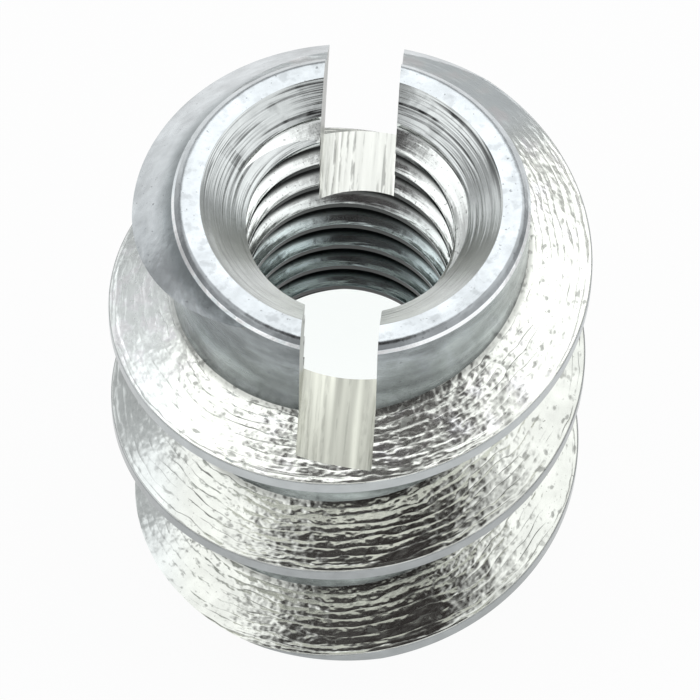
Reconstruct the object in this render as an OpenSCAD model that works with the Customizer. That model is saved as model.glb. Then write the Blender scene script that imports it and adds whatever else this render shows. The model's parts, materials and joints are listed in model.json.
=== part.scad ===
// Slotted self-tapping threaded insert for wood: one turned steel piece.
// The coarse outer thread cuts into the wood, the inner thread takes a machine bolt,
// and the slot across the head takes the driver. The insert stands on its entering end.

/* [Overall] */
// Diameter over the outer thread's crests
outer_d = 16; // [13.5:0.1:20]
// Length from the entering end to the rim
length = 18; // [14:0.5:40]

/* [Core] */
// Diameter of the core between the thread's turns
core_d = 11.7; // [9.6:0.1:12.9]
// Width of the flat rim round the mouth
rim_w = 0.52; // [0.3:0.01:0.6]
// Distance from the rim's outer edge out to the core's side
edge_w = 0.4; // [0.3:0.05:0.6]
// Radius that rounds the rim's outer edge
edge_r = 0.3; // [0.1:0.05:0.5]
// Slope of the cone from the rim down to the full diameter
cone_angle = 46; // [35:1:50]

/* [Outer thread] */
// Distance between neighbouring turns
pitch = 5.5; // [4.5:0.1:7]
// Height of the narrow land along the crest
crest_w = 0.5; // [0.3:0.05:0.8]
// Slope of the flank above each turn, against the level plane
flank_angle = 25; // [15:1:35]
// Share of the free height below a turn that its hollow underside takes up
under_reach = 0.9; // [0.6:0.01:0.95]
// Angle that the underside's arc turns through, from the core out to the crest
under_arc = 66; // [50:1:75]
// Depth of the crest's upper edge below the rim, on the +Y side
crest_drop = 2; // [1.5:0.1:4]
// Angle past the +Y side where the thread starts to sink into the core
runout_start = 90; // [0:5:150]
// Angle over which it sinks away
runout_sweep = 65; // [30:5:180]
// Height of the lead chamfer at the entering end
lead_h = 2; // [1:0.1:3]
// Depth that the lead chamfer takes off the core at the end face
lead_in = 0.2; // [0:0.05:0.2]

/* [Bore] */
// Nominal diameter of the bolt
bolt_d = 8; // [6:0.1:9.6]
// Radial height of the bolt's thread, from the bore's wall to the nominal diameter
bolt_thread_h = 0.6; // [0.4:0.05:0.8]
// Depth below the rim at which the threaded bore ends
thread_end = 10.9; // [8:0.1:12]
// Radial clearance round the bolt in the relief bore below the thread
relief_clearance = 0.25; // [0.1:0.05:0.4]
// Included angle of the countersunk mouth
mouth_angle = 94; // [80:1:120]
// Included angle of the shoulder between the two bores
shoulder_angle = 120; // [90:1:130]
// Chamfer round the relief bore's exit
exit_chamfer = 0.3; // [0.1:0.05:0.5]

/* [Slot] */
// Width of the driver slot
slot_w = 2.5; // [1.5:0.1:3]
// Depth of the slot below the rim, at the axis
slot_depth = 5.2; // [3:0.1:6]
// Diameter of the saw that cuts the slot
saw_d = 50; // [40:1:80]

/* [Hidden] */

overlap = 0.2;
crest_over = 0.1;
steps_per_turn = 48;
round_fn = 96;
edge_steps = 6;
under_steps = 6;
under_first = 12;
root_sink = 0.1;

outer_r = outer_d / 2;
core_r = core_d / 2;
rim_r = core_r - edge_w;
mouth_r = rim_r - rim_w;
bore_r = bolt_d / 2 - bolt_thread_h;
relief_r = bolt_d / 2 + relief_clearance;
mouth_depth = (mouth_r - bore_r) / tan(mouth_angle / 2);
shoulder_h = (relief_r - bore_r) / tan(shoulder_angle / 2);
relief_top = length - thread_end - shoulder_h;

// Middle of the crest on the +Y side, which is where the helix angle is 0
crest_z = length - crest_drop - crest_w / 2;
thread_h = outer_r - core_r;
foot_r = core_r - 2 * overlap;
flank_top = crest_w / 2 + (thread_h + root_sink) * tan(flank_angle);
first_turn = -(crest_z + flank_top + overlap) / pitch * 360;
last_turn = runout_start + runout_sweep;
ridge_steps = ceil((last_turn - first_turn) / 360 * steps_per_turn);

// Hollow underside of a turn: an arc that leaves the core upright and passes the crest's edge
under_h = (pitch - crest_w - thread_h * tan(flank_angle)) * under_reach;
under_share = (1 - cos(under_arc)) / (thread_h + root_sink);
under_last = acos(1 - under_share * (thread_h + root_sink + crest_over));
underside = [
    for (i = [0 : under_steps])
        let (a = under_first + (under_last - under_first) * i / under_steps)
        [
            core_r - root_sink + (1 - cos(a)) / under_share,
            under_h * (sin(a) / sin(under_arc) - 1) - crest_w / 2
        ]
];

// Cross-section of the thread as radius and height from the crest's middle, oversize at the crest
thread_profile = concat(
    [[foot_r, underside[0][1]]],
    underside,
    [
        [outer_r + crest_over, crest_w / 2 - crest_over * tan(flank_angle)],
        [core_r - root_sink, flank_top],
        [foot_r, flank_top]
    ]
);

// Rounded edge of the rim, from level down to the slope of the blank's cone
edge_arc = [
    for (i = [0 : edge_steps])
        let (a = 90 - cone_angle * i / edge_steps)
        [rim_r + edge_r * cos(a), length - edge_r + edge_r * sin(a)]
];
cone_start = edge_arc[edge_steps];
cone_foot_z = cone_start[1] - (outer_r - cone_start[0]) * tan(cone_angle);

// Share of the thread's full height that is left at a helix angle
function ridge_share(a) =
    a <= runout_start ? 1 : cos(90 * (a - runout_start) / runout_sweep);

// The thread's cross-section turned into place at a helix angle, and moved in where it runs out
function ridge_section(a) =
    let (
        sink = (outer_r + crest_over - core_r + overlap) * (1 - ridge_share(a)),
        z = crest_z + pitch * a / 360
    )
    [
        for (p = thread_profile)
            [(p[0] - sink) * cos(a + 90), (p[0] - sink) * sin(a + 90), z + p[1]]
    ];

// The coarse outer thread as one sweep of its cross-section
module outer_thread() {
    n = len(thread_profile);
    points = [
        for (i = [0 : ridge_steps])
            each ridge_section(first_turn + (last_turn - first_turn) * i / ridge_steps)
    ];
    sides = [
        for (i = [0 : ridge_steps - 1], j = [0 : n - 1])
            let (a = n * i + j, b = n * i + (j + 1) % n)
            each [[a, b + n, a + n], [a, b, b + n]]
    ];
    cap = [for (j = [0 : n - 1]) j];
    polyhedron(
        points,
        concat([[for (j = cap) n - 1 - j]], sides, [[for (j = cap) n * ridge_steps + j]]),
        convexity = 8
    );
}

// The turned blank: full diameter, with a long cone up to the rim and a lead chamfer below
module blank() {
    rotate_extrude($fn = round_fn)
        polygon(concat(
            [[0, 0], [core_r - lead_in, 0], [outer_r, lead_h], [outer_r, cone_foot_z]],
            [for (i = [edge_steps : -1 : 0]) edge_arc[i]],
            [[0, length]]
        ));
}

// The bar that is left between the turns
module core() {
    translate([0, 0, -overlap])
        cylinder(r = core_r, h = length + 2 * overlap, $fn = round_fn);
}

// Countersunk mouth, tapped bore, shoulder and relief bore, right through the axis
module bore_cut() {
    mouth_slope = tan(mouth_angle / 2);
    translate([0, 0, relief_top])
        cylinder(r = bore_r, h = length - relief_top, $fn = round_fn);
    translate([0, 0, length - mouth_depth])
        cylinder(r1 = bore_r, r2 = mouth_r + overlap * mouth_slope, h = mouth_depth + overlap,
            $fn = round_fn);
    translate([0, 0, -overlap])
        cylinder(r = relief_r, h = relief_top + overlap, $fn = round_fn);
    translate([0, 0, relief_top])
        cylinder(r1 = relief_r, r2 = bore_r, h = shoulder_h, $fn = round_fn);
    translate([0, 0, -overlap])
        cylinder(r1 = relief_r + exit_chamfer + overlap, r2 = relief_r, h = exit_chamfer + overlap,
            $fn = round_fn);
}

// The driver slot, plunged with a round saw, so that its floor is a shallow arc along Y
module slot_cut() {
    translate([0, 0, length - slot_depth + saw_d / 2])
        rotate([0, 90, 0])
            cylinder(d = saw_d, h = slot_w, center = true, $fn = 2 * round_fn);
}

module insert() {
    color([0.78, 0.80, 0.82])
        difference() {
            intersection() {
                blank();
                union() {
                    core();
                    outer_thread();
                }
            }
            bore_cut();
            slot_cut();
        }
}

insert();
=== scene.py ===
"""A slotted threaded insert for wood: one turned, zinc-plated steel piece on a pale floor."""

import json
import math

import bmesh
import bpy
from mathutils import Matrix, Vector


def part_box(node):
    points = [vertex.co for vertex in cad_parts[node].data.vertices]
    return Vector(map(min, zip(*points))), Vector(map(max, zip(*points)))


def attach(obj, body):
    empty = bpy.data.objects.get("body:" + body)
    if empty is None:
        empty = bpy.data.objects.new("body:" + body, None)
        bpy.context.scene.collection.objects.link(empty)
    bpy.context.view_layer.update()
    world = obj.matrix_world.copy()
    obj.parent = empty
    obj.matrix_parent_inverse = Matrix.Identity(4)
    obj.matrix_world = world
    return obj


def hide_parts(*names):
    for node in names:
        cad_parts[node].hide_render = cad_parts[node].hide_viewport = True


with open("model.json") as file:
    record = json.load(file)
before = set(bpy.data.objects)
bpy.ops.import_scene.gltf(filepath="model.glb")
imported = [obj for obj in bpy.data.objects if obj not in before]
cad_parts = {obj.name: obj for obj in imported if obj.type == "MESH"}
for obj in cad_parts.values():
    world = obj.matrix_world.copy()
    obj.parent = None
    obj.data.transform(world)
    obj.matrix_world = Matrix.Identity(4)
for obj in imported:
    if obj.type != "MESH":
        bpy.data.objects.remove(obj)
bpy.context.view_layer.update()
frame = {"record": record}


# ---------------------------------------------------------------- turned blank
# The insert starts as a steel bar, turned down to the core between the thread's
# turns, with a long cone up to the narrow rim and a lead chamfer at the entering end.

# Sizes are in mm and angles in degrees throughout, and MM takes mm to metres
MM = 0.001
far_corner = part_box("insert")[1]
thread_r = far_corner.x / MM
rim_z = far_corner.z / MM
core_r = 5.85
rim_outer_r = 5.45
rim_edge_r = 0.3
rim_edge_steps = 9
cone_deg = 46
lead_h = 2.0
lead_in = 0.2
stock_r = thread_r + 0.6
cut_past = 1.0
turned_segments = 256
upper_turns_z = (9.0, 12.5)
turned_tone = 0.69
turned_relief = 0.02


class Term:
    """A value in a node tree, so that a rule is written there as plain arithmetic."""

    def __init__(self, tree, value):
        self.tree = tree
        self.value = value

    def math(self, operation, *others):
        """A Math node on this value and others, which are terms, sockets or numbers."""
        node = self.tree.nodes.new("ShaderNodeMath")
        node.operation = operation
        for socket, term in zip(node.inputs, (self, *others)):
            value = term.value if isinstance(term, Term) else term
            if isinstance(value, bpy.types.NodeSocket):
                self.tree.links.new(value, socket)
            else:
                socket.default_value = value
        return Term(self.tree, node.outputs[0])

    def __add__(self, other):
        return self.math("ADD", other)

    def __sub__(self, other):
        return self.math("SUBTRACT", other)

    def __mul__(self, other):
        return self.math("MULTIPLY", other)

    def __truediv__(self, other):
        return self.math("DIVIDE", other)

    def __radd__(self, other):
        return self + other

    def __rmul__(self, other):
        return self * other

    def __rsub__(self, other):
        return Term(self.tree, other) - self

    def __rtruediv__(self, other):
        return Term(self.tree, other) / self

    def fade(self, start, end):
        """0 up to the first value and 1 from the second, with a soft step between."""
        node = self.tree.nodes.new("ShaderNodeMapRange")
        node.interpolation_type = "SMOOTHSTEP"
        self.tree.links.new(self.value, node.inputs["Value"])
        node.inputs["From Min"].default_value = min(start, end)
        node.inputs["From Max"].default_value = max(start, end)
        step = Term(self.tree, node.outputs["Result"])
        return 1.0 - step if start > end else step

    def swing(self, amount):
        """How far a value from 0 to 1 is off its middle, times an amount."""
        return (self - 0.5) * amount

    def clamped(self):
        """The value held between 0 and 1."""
        return self.math("MAXIMUM", 0.0).math("MINIMUM", 1.0)


def new_tree(name, kind, inputs, outputs):
    """A node tree with inputs as (name, socket type, value), and its group input and output."""
    tree = bpy.data.node_groups.new(name, kind)
    for label, socket_type, value in inputs:
        socket = tree.interface.new_socket(name=label, in_out="INPUT", socket_type=socket_type)
        if value is not None:
            socket.default_value = value
    for label, socket_type in outputs:
        tree.interface.new_socket(name=label, in_out="OUTPUT", socket_type=socket_type)
    return tree, tree.nodes.new("NodeGroupInput"), tree.nodes.new("NodeGroupOutput")


def vector(tree, x, y, z):
    """Three terms or numbers as a vector socket."""
    node = tree.nodes.new("ShaderNodeCombineXYZ")
    for socket, term in zip(node.inputs, (x, y, z)):
        if isinstance(term, Term):
            tree.links.new(term.value, socket)
        else:
            socket.default_value = term
    return node.outputs[0]


def noise(tree, place, detail, drift=None, roughness=0.5):
    """Noise of scale 1 at a vector socket, as a term around 0.5. A drift term slowly changes it."""
    node = tree.nodes.new("ShaderNodeTexNoise")
    if drift is not None:
        node.noise_dimensions = "4D"
        tree.links.new(drift.value, node.inputs["W"])
    node.inputs["Scale"].default_value = 1.0
    node.inputs["Detail"].default_value = detail
    node.inputs["Roughness"].default_value = roughness
    tree.links.new(place, node.inputs["Vector"])
    return Term(tree, node.outputs["Fac"])


def millimetres(tree):
    """X, Y and Z of the shaded point in the piece's own frame, in mm."""
    place = tree.nodes.new("ShaderNodeSeparateXYZ")
    tree.links.new(tree.nodes.new("ShaderNodeTexCoord").outputs["Object"], place.inputs[0])
    return [Term(tree, socket) * (1 / MM) for socket in place.outputs]


def axis_radius(x, y):
    """Distance from the Z axis."""
    return (x * x + y * y).math("SQRT")


def lathe_marks():
    """Shader group: ragged marks that run round the axis, as a tool leaves them."""
    tree, given, result = new_tree("lathe_marks", "ShaderNodeTree", [
        ("Length", "NodeSocketFloat", 1.0),
        ("Width", "NodeSocketFloat", 0.1),
        ("Patch length", "NodeSocketFloat", 4.0),
        ("Patch width", "NodeSocketFloat", 1.0),
        ("Height share", "NodeSocketFloat", 0.0),
        ("Seed", "NodeSocketFloat", 0.0),
    ], [
        ("Marks", "NodeSocketFloat"),
        ("Broad", "NodeSocketFloat"),
        ("Rows", "NodeSocketFloat"),
        ("Dashes", "NodeSocketFloat"),
    ])
    length, width, patch_length, patch_width, height_share, seed = (
        Term(tree, socket) for socket in list(given.outputs)[:6])
    x, y, z = millimetres(tree)
    radius = axis_radius(x, y)

    # Places are taken on one circle, so that a mark follows the tool round at every radius
    round_r = 7.0
    round_x = x / radius * round_r
    round_y = y / radius * round_r
    out = radius + z * height_share
    lay = out / width + seed
    drift = z * 0.25
    marks = noise(tree, vector(tree, round_x / length, round_y / length, lay), 1.2, drift)
    patch_place = vector(
        tree, round_x / patch_length, round_y / patch_length, out / patch_width + seed)
    broad = noise(tree, patch_place, 2.0, drift)

    # Rows of grooves that wander with the noise, each broken into dashes of its own
    row = lay + broad * 2.5 + marks * 0.9
    index = row.math("FLOOR")
    across = row - index
    dashes = noise(tree, vector(tree, round_x / length, round_y / length, index * 3.7), 1.0, drift)
    tree.links.new(marks.value, result.inputs["Marks"])
    tree.links.new(broad.value, result.inputs["Broad"])
    tree.links.new((across * (1.0 - across) * 4.0).value, result.inputs["Rows"])
    tree.links.new(dashes.value, result.inputs["Dashes"])
    return tree


def plating_mottle():
    """Shader group: the cloudy, lightly pitted look of thin zinc plating."""
    tree, given, result = new_tree("plating_mottle", "ShaderNodeTree", [
        ("Cloud size", "NodeSocketFloat", 1.0),
        ("Pit size", "NodeSocketFloat", 0.1),
    ], [
        ("Cloud", "NodeSocketFloat"),
        ("Pits", "NodeSocketFloat"),
    ])
    cloud_size, pit_size = (Term(tree, socket) for socket in list(given.outputs)[:2])
    x, y, z = millimetres(tree)
    cloud = noise(tree, vector(tree, x / cloud_size, y / cloud_size, z / cloud_size), 3.0)
    pits = noise(tree, vector(tree, x / pit_size, y / pit_size, z / pit_size), 1.0)
    tree.links.new(cloud.value, result.inputs["Cloud"])
    tree.links.new(pits.value, result.inputs["Pits"])
    return tree


LATHE_MARKS = lathe_marks()
PLATING_MOTTLE = plating_mottle()


def effect(tree, group, **values):
    """A group node with its inputs set, as a dict of terms by output name."""
    node = tree.nodes.new("ShaderNodeGroup")
    node.node_tree = group
    for label, value in values.items():
        node.inputs[label.replace("_", " ")].default_value = value
    return {socket.name: Term(tree, socket) for socket in node.outputs}


def zinc(name):
    """A new plated metal: its material, tree and Principled shader, all metal."""
    material = bpy.data.materials.new(name)
    material.use_nodes = True
    shader = material.node_tree.nodes["Principled BSDF"]
    shader.inputs["Metallic"].default_value = 1.0
    return material, material.node_tree, shader


def shade(tree, shader, tone, tint, roughness):
    """Base colour as a tint times a brightness term, and a roughness as a term or a number."""
    joined = tree.nodes.new("ShaderNodeCombineColor")
    for socket, share in zip(joined.inputs, tint):
        tree.links.new((tone * share).value, socket)
    tree.links.new(joined.outputs[0], shader.inputs["Base Color"])
    if isinstance(roughness, Term):
        tree.links.new(roughness.value, shader.inputs["Roughness"])
    else:
        shader.inputs["Roughness"].default_value = roughness


def relief(tree, shader, height, depth):
    """A fine relief from a height term, in which 1 stands for a depth in mm."""
    bump = tree.nodes.new("ShaderNodeBump")
    bump.inputs["Strength"].default_value = 1.0
    bump.inputs["Distance"].default_value = depth * MM
    tree.links.new(height.value, bump.inputs["Height"])
    tree.links.new(bump.outputs[0], shader.inputs["Normal"])


def turned_finish():
    """Zinc on the turned bar: cloudy and lightly pitted, with painted shade on the core between the
    turns, and a painted shade line and a painted highlight along the rim's front edge.
    """
    material, tree, shader = zinc("turned_zinc")
    rings = effect(
        tree, LATHE_MARKS, Length=3.0, Width=0.12, Patch_length=4.0, Patch_width=0.9,
        Height_share=1.0)
    plate = effect(tree, PLATING_MOTTLE, Cloud_size=1.3, Pit_size=0.13)
    worn = effect(tree, PLATING_MOTTLE, Cloud_size=0.45, Pit_size=0.11)
    x, y, z = millimetres(tree)

    # Bands by their depth under the rim: its flat, its rounded edge, and the edge's foot
    on_rim = z.fade(rim_z - 0.05, rim_z - 0.01)
    on_edge = z.fade(rim_z - 0.20, rim_z - 0.18) * z.fade(rim_z - 0.008, rim_z - 0.025)
    on_edge_foot = z.fade(rim_z - 0.29, rim_z - 0.275) * z.fade(rim_z - 0.18, rim_z - 0.20)
    on_core = axis_radius(x, y).fade(core_r + 0.6, core_r) * z.fade(rim_z - 0.275, rim_z - 0.30)
    front = y.fade(2.0, -1.0)
    upper_turns = z.fade(*upper_turns_z)

    tone = turned_tone + plate["Cloud"].swing(0.45) + rings["Broad"].swing(0.3)
    tone = tone + worn["Cloud"].swing(0.35)
    tone = tone * (1.0 - plate["Pits"].fade(0.30, 0.22) * 0.45)
    tone = tone + (rings["Broad"] - 0.5) * on_core * 1.4
    # Painted shade on the core between the turns, darker still on its upper part under the rim
    tone = tone * (1.0 - on_core * (0.24 + upper_turns * 0.26))
    # Painted shade: a dark line on the rim's rounded edge, and a painted highlight at the edge's
    # foot, on the front half only
    tone = tone * (1.0 - on_edge * front * 0.48) + on_edge_foot * front * 0.40
    tone = tone + on_rim * (0.08 - worn["Cloud"].fade(0.48, 0.70) * 0.22)
    tint = (0.95 - on_core * 0.035, 1.0, 1.025)
    shade(tree, shader, tone, tint, 0.18 + rings["Marks"] * 0.14)

    height = rings["Marks"] * 0.25 + rings["Broad"] * 1.6
    height = height + plate["Cloud"] * 2.2 + worn["Cloud"] * 0.8
    relief(tree, shader, height, turned_relief)
    return material


def placed(name, data):
    """A mesh as an object of that name at the origin."""
    data.name = name
    piece = bpy.data.objects.new(name, data)
    bpy.context.scene.collection.objects.link(piece)
    return piece


def closed_solid(name, mesh):
    """The bmesh as an object, with its faces turned outwards."""
    bmesh.ops.recalc_face_normals(mesh, faces=mesh.faces)
    data = bpy.data.meshes.new(name)
    mesh.to_mesh(data)
    mesh.free()
    return placed(name, data)


def lathe(name, profile, segments):
    """A closed solid turned round Z from (radius, height) pairs that start and end on the axis."""
    mesh = bmesh.new()
    turns = [2 * math.pi * i / segments for i in range(segments)]
    rings = []
    for radius, height in profile:
        places = [(0, 0, height * MM)]
        if radius > 0:
            places = [
                (radius * MM * math.cos(turn), radius * MM * math.sin(turn), height * MM)
                for turn in turns
            ]
        rings.append([mesh.verts.new(place) for place in places])
    for lower, upper in zip(rings, rings[1:]):
        for i in range(segments):
            k = (i + 1) % segments
            corners = [lower[i % len(lower)], lower[k % len(lower)]]
            corners += [upper[k % len(upper)], upper[i % len(upper)]]
            mesh.faces.new(list(dict.fromkeys(corners)))
    return closed_solid(name, mesh)


def arc(centre, radius, start, end, steps):
    """Points on a circle in the (radius, height) plane, from one angle to another, in degrees."""
    angles = [math.radians(start + (end - start) * i / steps) for i in range(steps + 1)]
    return [(centre[0] + radius * math.cos(a), centre[1] + radius * math.sin(a)) for a in angles]


turned_zinc = turned_finish()
rim_edge_centre = (rim_outer_r, rim_z - rim_edge_r)
rim_edge = arc(rim_edge_centre, rim_edge_r, 90 - cone_deg, 90, rim_edge_steps)
cone_r, cone_z = rim_edge[0]
lead_slope = lead_h / (thread_r - core_r + lead_in)
blank = lathe("blank", [
    (0, 0),
    (core_r - lead_in, 0),
    (stock_r, (stock_r - core_r + lead_in) * lead_slope),
    (stock_r, cone_z - (stock_r - cone_r) * math.tan(math.radians(cone_deg))),
    *rim_edge,
    (0, rim_z),
], turned_segments)
core = lathe("core", [
    (0, -cut_past),
    (core_r, -cut_past),
    (core_r, rim_z + cut_past),
    (0, rim_z + cut_past),
], turned_segments)
for bar in (blank, core):
    bar.data.materials.append(turned_zinc)


# ---------------------------------------------------------------- outer thread
# A coarse right-hand thread that cuts its own way in wood, turned in one pass and
# left rough from the tool. Its first turn starts out of the collar under the rim.

outer_pitch = 5.5
crest_w = 0.5
flank_deg = 25
under_reach = 0.9
under_arc_deg = 66
root_sink = 0.1
crest_drop = 2.0
runout_start_deg = 90
runout_sweep_deg = 65
crest_edge_r = 0.1
root_edge_r = 0.12
tear_depth = 0.03
ridge_foot_r = core_r - 0.6
sweep_past_end = 2.5
outer_steps_per_turn = 300
first_turn_z = (14.6, 15.2)
torn_tone = 0.74
torn_relief = 0.046


def crest_z(angle_deg):
    """Height of the outer crest's middle at a helix angle, which is 0 on the +Y side."""
    return rim_z - crest_drop - crest_w / 2 + outer_pitch * angle_deg / 360


def ridge_tree():
    """Geometry nodes that sweep a trapezoid ridge along a helix, closed at both ends."""
    sizes = [
        "Crest radius", "Root radius", "Root sink", "Foot radius", "Crest width", "Flank angle",
        "Under height", "Under arc", "Hollow under", "Pitch", "Crest height at zero",
        "First angle", "Last angle", "Run-out start", "Run-out sweep",
        "Crest rounding", "Root rounding", "Tear depth", "Seed",
    ]
    tree, given, result = new_tree("helical_ridge", "GeometryNodeTree", [
        *[(name, "NodeSocketFloat", 0.0) for name in sizes],
        ("Share of rows under", "NodeSocketFloat", 0.5),
        ("Steps along", "NodeSocketInt", 100),
        ("Steps across", "NodeSocketInt", 24),
        ("Finish", "NodeSocketMaterial", None),
    ], [("Geometry", "NodeSocketGeometry")])
    nodes, links = tree.nodes, tree.links
    size = {socket.name: Term(tree, socket) for socket in given.outputs}
    buried = 0.2 * MM
    core_skin = 0.02 * MM
    tear_start = 0.1 * MM
    weld_gap = 0.0005 * MM

    # A flat grid, one unit square: X runs along the helix and Y round the ridge's section
    grid = nodes.new("GeometryNodeMeshGrid")
    grid.inputs["Size X"].default_value = 1.0
    grid.inputs["Size Y"].default_value = 1.0
    links.new(size["Steps along"].value, grid.inputs["Vertices X"])
    links.new((size["Steps across"] + 1).value, grid.inputs["Vertices Y"])
    place = nodes.new("ShaderNodeSeparateXYZ")
    links.new(nodes.new("GeometryNodeInputPosition").outputs[0], place.inputs[0])
    along = Term(tree, place.outputs["X"]) + 0.5
    across = Term(tree, place.outputs["Y"]) + 0.5

    # The last row lies on the first, and both end columns shrink to a point
    half_row = 0.5 / size["Steps across"]
    wraps = across.math("LESS_THAN", 1 - half_row)
    share_across = across * size["Steps across"] / (size["Steps across"] - 1) * wraps
    off_foot = share_across.math("COMPARE", 0.5, 0.5 - half_row)
    inside = along.math("COMPARE", 0.5, 0.5 - 0.5 / size["Steps along"])

    # Where the thread runs out, it sinks under the core
    angle = size["First angle"] + (size["Last angle"] - size["First angle"]) * along
    run_out = ((angle - size["Run-out start"]) / size["Run-out sweep"]).clamped()
    share = (run_out * (math.pi / 2)).math("COSINE")
    full_h = size["Crest radius"] - size["Root radius"]
    sink = (full_h + buried) * (1 - share)

    # Rows from the foot under the turn, past the crest's lower edge, to the foot above it
    half_crest = size["Crest width"] * 0.5
    slope = (size["Flank angle"] * (math.pi / 180)).math("TANGENT")
    rows_under = size["Share of rows under"]
    below = share_across.math("MINIMUM", rows_under) / rows_under - 1
    above = (share_across - rows_under).math("MAXIMUM", 0.0) / (1 - rows_under)
    flank_h = (size["Crest radius"] - size["Foot radius"]) * slope
    height = below * size["Under height"] - half_crest + above * (flank_h + size["Crest width"])

    # Upper flank straight, underside straight or hollowed out along an arc
    over_r = size["Crest radius"] - (height - half_crest) / slope
    depth = ((0 - height - half_crest) / size["Under height"]).clamped()
    arc_rad = size["Under arc"] * (math.pi / 180)
    sine = (1 - depth) * arc_rad.math("SINE")
    lift = (1 - (1 - sine * sine).math("SQRT")) / (1 - arc_rad.math("COSINE"))
    hollow_r = size["Root radius"] - size["Root sink"] + (full_h + size["Root sink"]) * lift
    plain_r = size["Crest radius"] - (size["Crest radius"] - size["Foot radius"]) * depth
    under_r = plain_r + (hollow_r - plain_r) * size["Hollow under"]

    # The crest's edges and the root rounded off
    radius = over_r.math("SMOOTH_MIN", under_r, size["Crest rounding"])
    radius = radius.math("SMOOTH_MIN", size["Crest radius"], size["Crest rounding"]) - sink
    rounding = size["Root rounding"] * share
    radius = radius.math("SMOOTH_MAX", size["Root radius"] - core_skin, rounding)
    radius = size["Foot radius"] + (radius - size["Foot radius"]) * off_foot

    # Steel that the tool tore rather than cut: short ragged waves along the upper flank
    turn = (angle + 90.0) * (math.pi / 180)
    side = height.math("SIGN") * 3.0 + size["Seed"]
    tearing = noise(tree, vector(tree, turn * 6.0, radius * 2500.0, side), 3.0, roughness=0.65)
    torn = tearing.swing(2.0) * size["Tear depth"]
    on_flank = ((height - half_crest) / tear_start).clamped()

    # Every point of the grid moved to its place on the helix
    radius = size["Foot radius"] + (radius - size["Foot radius"]) * inside
    height = (height + torn * on_flank * off_foot) * inside
    level = size["Crest height at zero"] + size["Pitch"] * angle / 360.0 + height
    moved = vector(tree, radius * turn.math("COSINE"), radius * turn.math("SINE"), level)
    sweep = nodes.new("GeometryNodeSetPosition")
    links.new(grid.outputs["Mesh"], sweep.inputs["Geometry"])
    links.new(moved, sweep.inputs["Position"])
    weld = nodes.new("GeometryNodeMergeByDistance")
    weld.inputs["Distance"].default_value = weld_gap
    links.new(sweep.outputs[0], weld.inputs["Geometry"])
    realize = nodes.new("GeometryNodeRealizeInstances")
    links.new(weld.outputs[0], realize.inputs[0])
    finish = nodes.new("GeometryNodeSetMaterial")
    links.new(realize.outputs[0], finish.inputs["Geometry"])
    links.new(size["Finish"].value, finish.inputs["Material"])
    links.new(finish.outputs[0], result.inputs["Geometry"])
    return tree


def plain_mesh(piece):
    """The mesh of a piece with its modifiers done. The piece itself is removed."""
    bpy.context.view_layer.update()
    graph = bpy.context.evaluated_depsgraph_get()
    data = bpy.data.meshes.new_from_object(piece.evaluated_get(graph))
    bpy.data.objects.remove(piece)
    return data


def grown(name, tree, values):
    """The result of a geometry tree as a plain closed solid."""
    start = placed(name + "_start", bpy.data.meshes.new(name + "_start"))
    modifier = start.modifiers.new("grow", "NODES")
    modifier.node_group = tree
    for label, value in values.items():
        modifier[tree.interface.items_tree[label].identifier] = value
    data = plain_mesh(start)
    mesh = bmesh.new()
    mesh.from_mesh(data)
    bmesh.ops.recalc_face_normals(mesh, faces=mesh.faces)
    mesh.to_mesh(data)
    mesh.free()
    return placed(name, data)


def torn_finish():
    """Zinc over torn steel: scored rows and chatter, with a burr at the crest and a smooth land."""
    material, tree, shader = zinc("torn_zinc")
    scores = effect(
        tree, LATHE_MARKS, Length=0.9, Width=0.25, Patch_length=3.0, Patch_width=2.2, Seed=4.0)
    chatter = effect(
        tree, LATHE_MARKS, Length=0.34, Width=0.20, Patch_length=2.0, Patch_width=1.4, Seed=31.0)
    plate = effect(tree, PLATING_MOTTLE, Cloud_size=0.8, Pit_size=0.085)
    x, y, z = millimetres(tree)
    radius = axis_radius(x, y)

    # The cut ran smooth behind the first turn, and calmer towards the left ends
    off_land = radius.fade(thread_r - 0.02, thread_r - 0.07)
    upper_turns = z.fade(*upper_turns_z)
    skimmed = (y / radius).fade(0.50, 0.80) * z.fade(*first_turn_z)
    calm = skimmed.math("MAXIMUM", x.fade(-4.5, -6.5) * 0.6)
    torn = chatter["Broad"].fade(0.26, 0.50)
    burr = radius.fade(thread_r - 0.34, thread_r - 0.24) * off_land
    at_root = radius.fade(core_r + 0.25, core_r + 0.05)

    # Fine dark cuts: broken score lines, pits and the deepest of the chatter. The score lines and
    # the deepest chatter are darkened as painted shade in their hollows
    score_lines = scores["Rows"].fade(0.40, 0.08) * scores["Dashes"].fade(0.52, 0.40)
    score_lines = score_lines * scores["Broad"].fade(0.44, 0.56)
    pits = plate["Pits"].fade(0.30, 0.22)
    nicks = chatter["Marks"].fade(0.38, 0.28) * torn
    cuts = score_lines.math("MAXIMUM", pits * 0.7).math("MAXIMUM", nicks * 0.6)
    cuts = cuts * off_land * (1.0 - calm)

    # Painted shade: the lower turns darker than the upper ones
    tone = (torn_tone + upper_turns * 0.26 + plate["Cloud"].swing(0.35)) * (1.0 - cuts * 0.7)
    # Painted shade towards the root, where the flank meets the core
    tone = tone * (0.55 + off_land * 0.45) * (1.0 - at_root * 0.45)
    torn_side = off_land * (1.0 - calm)
    tint = (0.95 + torn_side * 0.035, 1.0, 1.01 - torn_side * 0.08)
    shade(tree, shader, tone, tint, 0.16 + cuts * 0.3 + upper_turns * 0.1)

    rows = scores["Rows"] * (0.1 + scores["Dashes"] * 0.5) * torn * (1.0 + burr)
    height = rows + chatter["Marks"] * (0.4 + torn * 0.9) + scores["Broad"] * 0.6
    height = height * (off_land * 0.95 + 0.05) * (0.68 + upper_turns * 0.32)
    relief(tree, shader, height * (1.0 - calm * 0.85), torn_relief)
    return material


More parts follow.
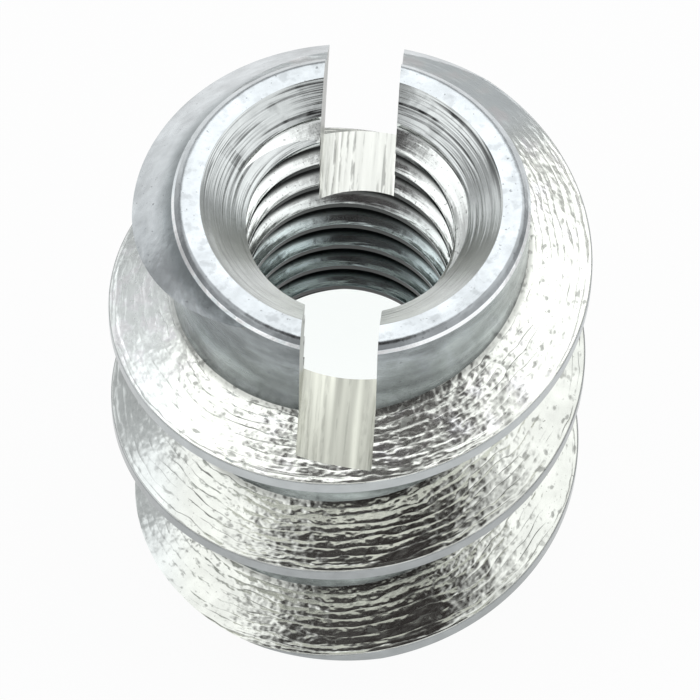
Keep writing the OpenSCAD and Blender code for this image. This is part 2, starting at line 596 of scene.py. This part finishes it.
torn_zinc = torn_finish()
ridge = ridge_tree()
flank_rise = math.tan(math.radians(flank_deg))
under_h = (outer_pitch - crest_w - (thread_r - core_r) * flank_rise) * under_reach
first_deg = -(crest_z(0) + sweep_past_end) / outer_pitch * 360
last_deg = runout_start_deg + runout_sweep_deg
outer_ridge = grown("outer_ridge", ridge, {
    "Crest radius": thread_r * MM,
    "Root radius": core_r * MM,
    "Root sink": root_sink * MM,
    "Foot radius": ridge_foot_r * MM,
    "Crest width": crest_w * MM,
    "Flank angle": flank_deg,
    "Under height": under_h * MM,
    "Under arc": under_arc_deg,
    "Hollow under": 1.0,
    "Pitch": outer_pitch * MM,
    "Crest height at zero": crest_z(0) * MM,
    "First angle": first_deg,
    "Last angle": last_deg,
    "Run-out start": runout_start_deg,
    "Run-out sweep": runout_sweep_deg,
    "Crest rounding": crest_edge_r * MM,
    "Root rounding": root_edge_r * MM,
    "Tear depth": tear_depth * MM,
    "Seed": 3.0,
    "Share of rows under": 0.3,
    "Steps along": int((last_deg - first_deg) * outer_steps_per_turn / 360),
    "Steps across": 52,
    "Finish": torn_zinc,
})


# ---------------------------------------------------------------- mouth and bore
# A drilled hole with a countersunk mouth for the bolt's lead-in. Below the thread it
# opens to a plain relief bore, so that the bolt's end runs free.

mounts = {mount["name"]: mount for mount in frame["record"]["mounts"]}
bore_r = mounts["inner_thread"]["dims"]["r_mm"]
relief_r = 4.25
relief_top = 6.609
thread_bottom = 7.1
rim_w = 0.52
mouth_deg = 94
exit_chamfer = 0.3
bore_segments = 192
bored_tone = 0.70
deep_tone = 0.07
bored_relief = 0.022

mouth_slope = math.tan(math.radians(mouth_deg / 2))
mouth_r = rim_outer_r - rim_w
mouth_z = rim_z - (mouth_r - bore_r) / mouth_slope


def bored_finish():
    """Zinc in the mouth and the bore: ringed by the countersink, painted near black inside as
    painted shade, and full bright in the relief bore.
    """
    material, tree, shader = zinc("bored_zinc")
    grooves = effect(
        tree, LATHE_MARKS, Length=5.0, Width=0.12, Patch_length=12.0, Patch_width=1.0,
        Height_share=0.6, Seed=7.0)
    plate = effect(tree, PLATING_MOTTLE, Cloud_size=0.7, Pit_size=0.1)
    y, z = millimetres(tree)[1:]
    in_mouth = z.fade(mouth_z - 0.6, mouth_z - 0.1)

    # The countersink's grooves are darker and deeper on its far side, and its clouds darker towards
    # the back
    far_side_marks = 0.4 + y.fade(-1.5, 2.5) * 1.1

    tone = bored_tone + grooves["Broad"].swing(0.3) + plate["Cloud"].swing(0.3)
    tone = tone * (1.0 - grooves["Marks"].fade(0.46, 0.34) * far_side_marks * 0.45)
    tone = tone - plate["Cloud"].fade(0.46, 0.62) * y.fade(1.5, 4.0) * 0.22
    # Painted shade: the bore near black from the thread's end up to the mouth, and full bright in
    # the relief bore below, where it mirrors the floor
    inner_tone = deep_tone + (1 - deep_tone) * z.fade(thread_bottom, relief_top)
    tone = inner_tone + (tone - inner_tone) * in_mouth
    shade(tree, shader, tone, (0.965, 1.0, 0.985), 0.22)
    height = (grooves["Marks"] + grooves["Broad"]) * far_side_marks * in_mouth
    relief(tree, shader, height, bored_relief)
    return material


bore = lathe("bore", [
    (0, -cut_past),
    (relief_r + exit_chamfer + cut_past, -cut_past),
    (relief_r, exit_chamfer),
    (relief_r, relief_top),
    (bore_r, thread_bottom),
    (bore_r, mouth_z),
    (mouth_r, rim_z),
    (mouth_r + mouth_slope * cut_past, rim_z + cut_past),
    (0, rim_z + cut_past),
], bore_segments)
bore.data.materials.append(bored_finish())


# ---------------------------------------------------------------- bolt thread
# The fine machine thread that a tap leaves in the bore, for an M8 bolt. It runs from
# the relief bore up into the countersink.

bolt_pitch = 1.25
bolt_r = 4.02
bolt_groove_w = 0.27
bolt_groove_z = 15.77
bolt_flank_deg = 30
bolt_foot_r = bore_r - 0.15
bolt_crest_edge_r = 0.12
bolt_root_edge_r = 0.25
bolt_steps_per_turn = 120
bolt_groove_start_z = relief_top - 1.2
bolt_groove_end_z = rim_z - 0.5
no_run_out = 1e6
deep_bore_z = (13.5, 10.5)
tapped_tone = 0.90
tapped_relief = 0.016


def groove_deg(height):
    """Helix angle at which the bolt thread's groove reaches a height."""
    return (height - bolt_groove_z) / bolt_pitch * 360


def tapped_finish():
    """Zinc on the tapped thread: bright lands, painted shade in the grooves, and more painted shade
    deep in the bore.
    """
    material, tree, shader = zinc("tapped_zinc")
    drags = effect(
        tree, LATHE_MARKS, Length=1.6, Width=0.16, Patch_length=4.0, Patch_width=1.3,
        Height_share=1.0, Seed=12.0)
    plate = effect(tree, PLATING_MOTTLE, Cloud_size=0.5, Pit_size=0.12)
    x, y, z = millimetres(tree)
    in_groove = axis_radius(x, y).fade(bore_r + 0.22, bore_r + 0.42)
    in_groove = in_groove * z.fade(mouth_z, mouth_z - 0.4)
    deep = z.fade(*deep_bore_z)

    tone = tapped_tone + drags["Broad"].swing(0.5) - plate["Pits"].fade(0.34, 0.24) * 0.4
    # Painted shade: the grooves nearly black, and the thread darker and cooler deep in the bore
    tone = tone * (1.0 - in_groove * 0.93) * (1.0 - deep * 0.26)
    tint = (0.975 - deep * 0.12, 1.0, 0.97 + deep * 0.03)
    shade(tree, shader, tone, tint, 0.2 + in_groove * 0.5)
    relief(tree, shader, drags["Marks"] + plate["Cloud"], tapped_relief)
    return material


bolt_under_h = (bolt_r - bolt_foot_r) * math.tan(math.radians(bolt_flank_deg))
bolt_first_deg = groove_deg(bolt_groove_start_z)
bolt_last_deg = groove_deg(bolt_groove_end_z)
bolt_groove = grown("bolt_groove", ridge, {
    "Crest radius": bolt_r * MM,
    "Root radius": bore_r * MM,
    "Root sink": 0.0,
    "Foot radius": bolt_foot_r * MM,
    "Crest width": bolt_groove_w * MM,
    "Flank angle": bolt_flank_deg,
    "Under height": bolt_under_h * MM,
    "Under arc": under_arc_deg,
    "Hollow under": 0.0,
    "Pitch": bolt_pitch * MM,
    "Crest height at zero": bolt_groove_z * MM,
    "First angle": bolt_first_deg,
    "Last angle": bolt_last_deg,
    "Run-out start": no_run_out,
    "Run-out sweep": 10.0,
    "Crest rounding": bolt_crest_edge_r * MM,
    "Root rounding": bolt_root_edge_r * MM,
    "Tear depth": 0.0,
    "Seed": 0.0,
    "Share of rows under": 0.45,
    "Steps along": int((bolt_last_deg - bolt_first_deg) * bolt_steps_per_turn / 360),
    "Steps across": 18,
    "Finish": tapped_finish(),
})


# ---------------------------------------------------------------- driver slot
# One plunge of a round saw across the head, for a flat driver or a setting tool. The
# saw leaves fine straight lines along the slot's floor and walls.

slot_w = 2.5
slot_depth = 5.2
saw_r = 37.5
saw_steps = 120
sawn_tone = 0.70
sawn_relief = 0.012


def saw_blade():
    """The part of the round saw that passes through the head, as a closed solid."""
    reach = thread_r + cut_past
    centre_z = rim_z - slot_depth + saw_r
    along = [reach - 2 * reach * i / saw_steps for i in range(saw_steps + 1)]
    outline = [(-reach, rim_z + cut_past), (reach, rim_z + cut_past)]
    outline += [(y, centre_z - math.sqrt(saw_r ** 2 - y ** 2)) for y in along]
    mesh = bmesh.new()
    left = [mesh.verts.new((-slot_w / 2 * MM, y * MM, z * MM)) for y, z in outline]
    right = [mesh.verts.new((slot_w / 2 * MM, y * MM, z * MM)) for y, z in outline]
    mesh.faces.new(left)
    mesh.faces.new(right[::-1])
    for i in range(len(outline)):
        k = (i + 1) % len(outline)
        mesh.faces.new((left[i], left[k], right[k], right[i]))
    return closed_solid("saw_blade", mesh)


def sawn_finish():
    """Zinc on the sawn slot: straight fine lines in light and dark bands, with torn scratches."""
    material, tree, shader = zinc("sawn_zinc")
    x, y, z = millimetres(tree)
    lines = noise(tree, vector(tree, x / 0.13, y / 5.0, z / 2.5), 1.5)
    bands = noise(tree, vector(tree, x / 0.35, y / 9.0, z / 9.0), 1.0)
    drag = noise(tree, vector(tree, x / 0.12, y / 0.6, z / 0.6 + 5.0), 2.0)
    floor_z = rim_z - slot_depth
    on_floor = z.fade(floor_z + 1.2, floor_z + 0.9)
    far_half = y.fade(-1, 1)

    # The saw's scratches are sharper on the far half, and its bands broader on the near one
    scratches = lines.fade(0.50, 0.36) * drag.fade(0.62, 0.42) * (0.25 + far_half * 0.75)
    # Painted light: the far half of the slot lighter
    tone = sawn_tone + far_half * 0.2 + (bands - 0.5) * (1.1 - far_half * 0.6) - scratches * 0.4
    # Painted shade: the slot's walls above its floor at half brightness
    tone = tone * (0.5 + on_floor * 0.5)
    shade(tree, shader, tone, (0.99, 1.0, 0.88 + far_half * 0.06), 0.3)
    relief(tree, shader, lines + drag * 0.5, sawn_relief)
    return material


slot = saw_blade()
slot.data.materials.append(sawn_finish())


# ---------------------------------------------------------------- the insert as one piece
# The machined forms joined into a single turned part, plated bright with zinc after
# the cutting, so that every tool mark still shows through the thin plating.

sharp_edge_deg = 18


def cut_together(name, base, steps):
    """One plain mesh from a base solid and (operation, solid) steps, done in turn."""
    for operation, other in steps:
        modifier = base.modifiers.new(operation.lower(), "BOOLEAN")
        modifier.operation = operation
        modifier.solver = "MANIFOLD"
        modifier.material_mode = "TRANSFER"
        modifier.object = other
    data = plain_mesh(base)
    for _, used in steps:
        bpy.data.objects.remove(used)
    return placed(name, data)


insert = cut_together("threaded_insert", core, [
    ("UNION", outer_ridge),
    ("INTERSECT", blank),
    ("DIFFERENCE", bore),
    ("DIFFERENCE", bolt_groove),
    ("DIFFERENCE", slot),
])
insert.data.shade_smooth()
insert.data.set_sharp_from_angle(angle=math.radians(sharp_edge_deg))

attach(insert, "root")
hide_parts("insert")


# ---------------------------------------------------------------- studio
# A pale floor that shows white and keeps a faint shadow, a dim sky with soft bright
# patches for the plating to mirror, and the camera above the front of the piece.

floor_r = 600
floor_t = 2
floor_segments = 96
floor_colour = (0.9, 0.9, 0.9, 1)
floor_shown = 0.94
floor_mirrored = 0.7
sky_base = 0.38
sky_limit = 1.3

# Azimuth from the back, clockwise seen from above, elevation, inner and outer angle, strength
sky_patches = (
    (0, 60, 18, 38, 0.95),
    (-104, 58, 26, 42, 1.15),
    (-35, 74, 8, 24, 0.6),
    (68, 38, 20, 33, 0.95),
    (112, 26, 15, 30, 0.6),
    (-112, 26, 15, 30, 0.1),
    (102, 57, 12, 26, 0.38),
    (-50, 32, 12, 25, 0.15),
    (-57, 4, 8, 22, 0.5),
    (180, 30, 7, 16, 0.5),
    (-147, 26, 8, 20, 0.2),
    (147, 26, 8, 20, 0.35),
    (180, 14, 12, 22, 0.5),
)
dark_over_front = (183, 62, 19, 34)
dark_over_front_left = (228, 60, 6, 20)

camera_turn_deg = 2.9
camera_reach = 123.23
camera_h = 200.25
camera_aim = (0.08, 0, 9.006)
camera_roll_deg = 1.458
camera_lens = 348.3


def studio_floor():
    """A wide pale disc under the piece, which shows white and keeps a faint shadow."""
    outline = [(0, -floor_t), (floor_r, -floor_t), (floor_r, 0), (0, 0)]
    floor = lathe("floor", outline, floor_segments)
    paper = bpy.data.materials.new("paper")
    paper.use_nodes = True
    nodes, links = paper.node_tree.nodes, paper.node_tree.links
    matt = nodes["Principled BSDF"]
    matt.inputs["Base Color"].default_value = floor_colour
    matt.inputs["Roughness"].default_value = 0.9
    glow = nodes.new("ShaderNodeEmission")

    # White where it is seen or mirrored, with a painted glow under the bore that makes the mirrored
    # floor full white there, and plain paper for every other ray, so that it keeps the piece's
    # shadow
    seen = nodes.new("ShaderNodeLightPath")
    x, y = millimetres(paper.node_tree)[:2]
    under_bore = axis_radius(x, y).fade(relief_r + 2, relief_r)
    mirrored = Term(paper.node_tree, seen.outputs["Is Glossy Ray"])
    mirrored = mirrored.math("MAXIMUM", seen.outputs["Is Transmission Ray"])
    shown = Term(paper.node_tree, seen.outputs["Is Camera Ray"]) * floor_shown
    mirrored = mirrored * (floor_mirrored + under_bore * (1 - floor_mirrored))
    shown = shown.math("MAXIMUM", mirrored)
    blend = nodes.new("ShaderNodeMixShader")
    links.new(shown.value, blend.inputs["Fac"])
    links.new(matt.outputs[0], blend.inputs[1])
    links.new(glow.outputs[0], blend.inputs[2])
    links.new(blend.outputs[0], nodes["Material Output"].inputs["Surface"])
    floor.data.materials.append(paper)


def heading(azimuth, elevation):
    """Unit vector for an azimuth from the back, clockwise seen from above, and an elevation."""
    a, e = math.radians(azimuth), math.radians(elevation)
    return (math.sin(a) * math.cos(e), math.cos(a) * math.cos(e), math.sin(e))


def patch(sky, direction, azimuth, elevation, inner, outer):
    """1 within an angle of a heading on the sky, falling to 0 at a wider one."""
    dot = sky.nodes.new("ShaderNodeVectorMath")
    dot.operation = "DOT_PRODUCT"
    sky.links.new(direction, dot.inputs[0])
    dot.inputs[1].default_value = heading(azimuth, elevation)
    near = Term(sky, dot.outputs["Value"])
    return near.fade(math.cos(math.radians(outer)), math.cos(math.radians(inner)))


def studio_sky():
    """World light as soft patches on a dim sky, darkened above the front."""
    world = bpy.data.worlds.new("studio")
    bpy.context.scene.world = world
    world.use_nodes = True
    sky = world.node_tree
    direction = sky.nodes.new("ShaderNodeTexCoord").outputs["Generated"]
    light = Term(sky, sky_base)
    for *place, gain in sky_patches:
        light = light + patch(sky, direction, *place) * gain
    light = light.math("MINIMUM", sky_limit)
    shadow = patch(sky, direction, *dark_over_front)
    light = light * (1.0 - shadow * 0.94)
    light = light * (1.0 - patch(sky, direction, *dark_over_front_left) * 0.5)
    tint = sky.nodes.new("ShaderNodeCombineColor")
    sky.links.new((light * 0.985 + shadow * 0.005).value, tint.inputs["Red"])
    sky.links.new(light.value, tint.inputs["Green"])
    sky.links.new((light * 1.015).value, tint.inputs["Blue"])
    sky.links.new(tint.outputs[0], sky.nodes["Background"].inputs["Color"])


def aimed_camera(place, target, roll_deg, lens):
    """A camera at a place in mm, looking at a target, turned by a small roll."""
    data = bpy.data.cameras.new("camera")
    data.lens = lens
    data.sensor_width = 36
    data.clip_start = 0.01
    holder = bpy.data.objects.new("camera", data)
    forward = (Vector(target) - Vector(place)).normalized()
    right = forward.cross(Vector((0, 0, 1))).normalized()
    up = right.cross(forward)
    roll = math.radians(roll_deg)
    across = right * math.cos(roll) + up * math.sin(roll)
    above = up * math.cos(roll) - right * math.sin(roll)
    turn = Matrix((across, above, -forward)).transposed().to_4x4()
    holder.matrix_world = Matrix.Translation(Vector(place) * MM) @ turn
    bpy.context.scene.collection.objects.link(holder)
    return holder


studio_floor()
studio_sky()
camera_turn = math.radians(camera_turn_deg)
camera_x = camera_reach * math.sin(camera_turn)
camera_y = -camera_reach * math.cos(camera_turn)
bpy.context.scene.camera = aimed_camera(
    (camera_x, camera_y, camera_h), camera_aim, camera_roll_deg, camera_lens)
bpy.context.scene.view_settings.view_transform = "Standard"
